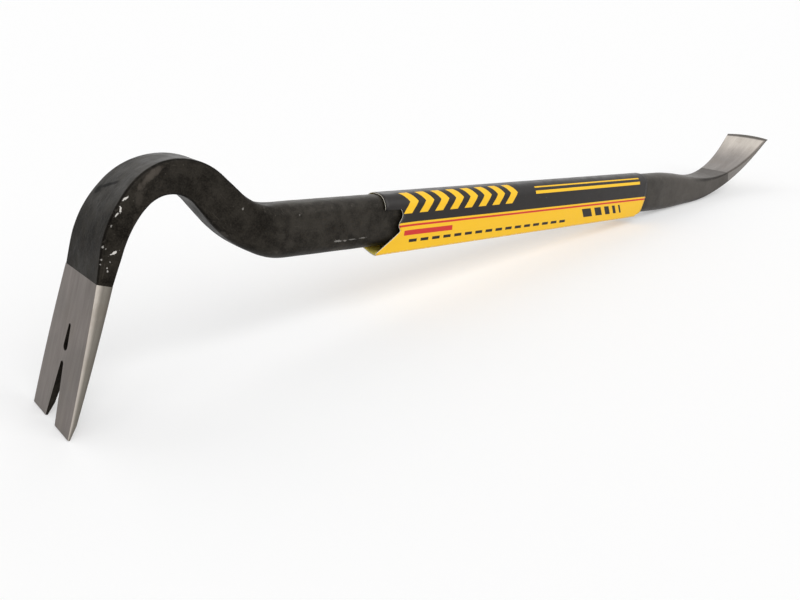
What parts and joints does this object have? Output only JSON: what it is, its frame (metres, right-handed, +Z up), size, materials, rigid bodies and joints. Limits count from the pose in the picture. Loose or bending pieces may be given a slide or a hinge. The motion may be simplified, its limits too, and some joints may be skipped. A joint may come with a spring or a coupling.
{
  "type": "gooseneck wrecking bar",
  "caption": "Forged steel gooseneck pry bar with a nail claw and a curved flat chisel, wearing a loose folded card sales sleeve that slides along its oval shank.",
  "frame": {"origin": "on the floor under the middle of the part's box, with the bar standing on its claw tips and chisel heel", "axes": "+X along the bar towards the chisel, +Y across it to the far side, +Z up; the shank slopes down 7.5 degrees towards +X"},
  "size_m": [0.6024, 0.0456, 0.108],
  "materials": {
    "black_paint": "satin",
    "bare_steel": "satin",
    "printed_card": "satin"
  },
  "bodies": {
    "bar": {"claw": "bare_steel", "gooseneck": "black_paint", "shank": "black_paint", "chisel_neck": "black_paint", "chisel_blade": "bare_steel"},
    "sleeve": {"sleeve_top_panel": "printed_card", "sleeve_front_shoulder": "printed_card", "sleeve_back_shoulder": "printed_card", "sleeve_front_panel": "printed_card", "sleeve_back_panel": "printed_card", "sleeve_bottom_panel": "printed_card", "sleeve_glue_flap": "printed_card"}
  },
  "joints": [
    {"name": "sleeve_slide", "type": "slide", "parent": "bar", "child": "sleeve", "axis": [0.9914, 0, -0.1312], "range_m": [-0.052, 0.035]}
  ]
}
